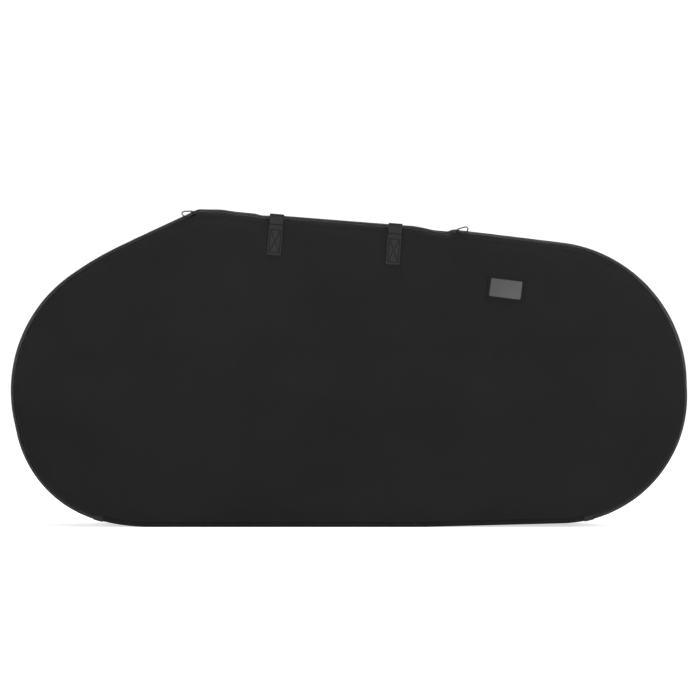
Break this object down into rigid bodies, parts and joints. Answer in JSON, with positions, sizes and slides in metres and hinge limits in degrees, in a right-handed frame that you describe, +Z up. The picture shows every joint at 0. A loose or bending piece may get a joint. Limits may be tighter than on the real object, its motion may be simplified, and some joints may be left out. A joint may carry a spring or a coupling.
{
  "type": "soft bike travel bag",
  "caption": "Long padded bag for a whole bicycle, standing on its base, with a zipped front panel that folds down and two webbing carry handles.",
  "frame": {"origin": "on the floor, at the flat underside of the base, under the middle of the bag", "axes": "+X along the bag to the right of someone facing the front panel, +Y to the back, +Z up"},
  "size_m": [1.7486, 0.2109, 0.8214],
  "materials": {
    "outer_cloth": "matt black woven cloth",
    "lining_cloth": "dark grey plain lining",
    "padding_foam": "closed-cell foam",
    "seam_binding": "woven binding tape",
    "zip_tape": "woven zip tape",
    "zip_coil": "nylon coil",
    "webbing": "ribbed webbing",
    "stiff_board": "stiff sheet",
    "slider_metal": "dark plated",
    "pull_wire": "dark plated wire",
    "clear_film": "clear flexible film"
  },
  "bodies": {
    "shell": {"back_binding": "seam_binding", "back_cover": "outer_cloth", "back_foam": "padding_foam", "back_lining": "lining_cloth", "base_board": "stiff_board", "base_corner_cover_left": "outer_cloth", "base_corner_cover_right": "outer_cloth", "base_cover": "outer_cloth", "base_foam": "padding_foam", "base_lining": "lining_cloth", "left_gusset_cover": "outer_cloth", "left_gusset_foam": "padding_foam", "left_gusset_lining": "lining_cloth", "rear_handle_anchor_left": "webbing", "rear_handle_anchor_right": "webbing", "rear_zip_coil": "zip_coil", "rear_zip_tape": "zip_tape", "right_gusset_cover": "outer_cloth", "right_gusset_foam": "padding_foam", "right_gusset_lining": "lining_cloth", "tie_patch_1": "lining_cloth", "tie_patch_2": "lining_cloth", "tie_patch_3": "lining_cloth", "tie_strap_1": "webbing", "tie_strap_2": "webbing", "tie_strap_3": "webbing", "top_gusset_cover": "outer_cloth", "top_gusset_foam": "padding_foam", "top_gusset_lining": "lining_cloth", "zip_end_tab_left": "webbing", "zip_end_tab_right": "webbing"},
    "lid": {"front_cover": "outer_cloth", "front_foam": "padding_foam", "front_lining": "lining_cloth", "front_binding": "seam_binding", "front_zip_tape": "zip_tape", "front_zip_coil": "zip_coil", "front_handle_anchor_left": "webbing", "front_handle_anchor_right": "webbing", "id_window_film": "clear_film", "id_window_frame": "outer_cloth"},
    "front_handle": {"front_handle_loop": "webbing"},
    "rear_handle": {"rear_handle_loop": "webbing"},
    "slider_left": {"zip_slider_left": "slider_metal"},
    "slider_right": {"zip_slider_right": "slider_metal"},
    "pull_left": {"zip_pull_left": "pull_wire"},
    "pull_right": {"zip_pull_right": "pull_wire"}
  },
  "joints": [
    {"name": "lid_fold", "type": "hinge", "parent": "shell", "child": "lid", "pos_m": [0, -0.0949, 0.0133], "axis": [1, 0, 0], "range_deg": [0, 90]},
    {"name": "front_handle_swing", "type": "hinge", "parent": "lid", "child": "front_handle", "pos_m": [-0.03429, -0.10435, 0.79543], "axis": [0.9969, 0, -0.0786], "range_deg": [0, 265]},
    {"name": "rear_handle_swing", "type": "hinge", "parent": "shell", "child": "rear_handle", "pos_m": [-0.03429, 0.10435, 0.79543], "axis": [0.9969, 0, -0.0786], "range_deg": [0, 180]},
    {"name": "slider_left_slide", "type": "slide", "parent": "shell", "child": "slider_left", "axis": [-0.9057, 0, -0.424], "range_m": [0, 0.195]},
    {"name": "slider_right_slide", "type": "slide", "parent": "shell", "child": "slider_right", "axis": [0.9928, 0, -0.1196], "range_m": [0, 0.26]},
    {"name": "pull_left_swing", "type": "hinge", "parent": "slider_left", "child": "pull_left", "pos_m": [-0.40508, -0.09256, 0.81333], "axis": [-0.2998, 0.7071, 0.6404], "range_deg": [-22, 128]},
    {"name": "pull_right_swing", "type": "hinge", "parent": "slider_right", "child": "pull_right", "pos_m": [0.278, -0.09256, 0.76615], "axis": [-0.0846, -0.7071, -0.702], "range_deg": [-22, 128]}
  ]
}
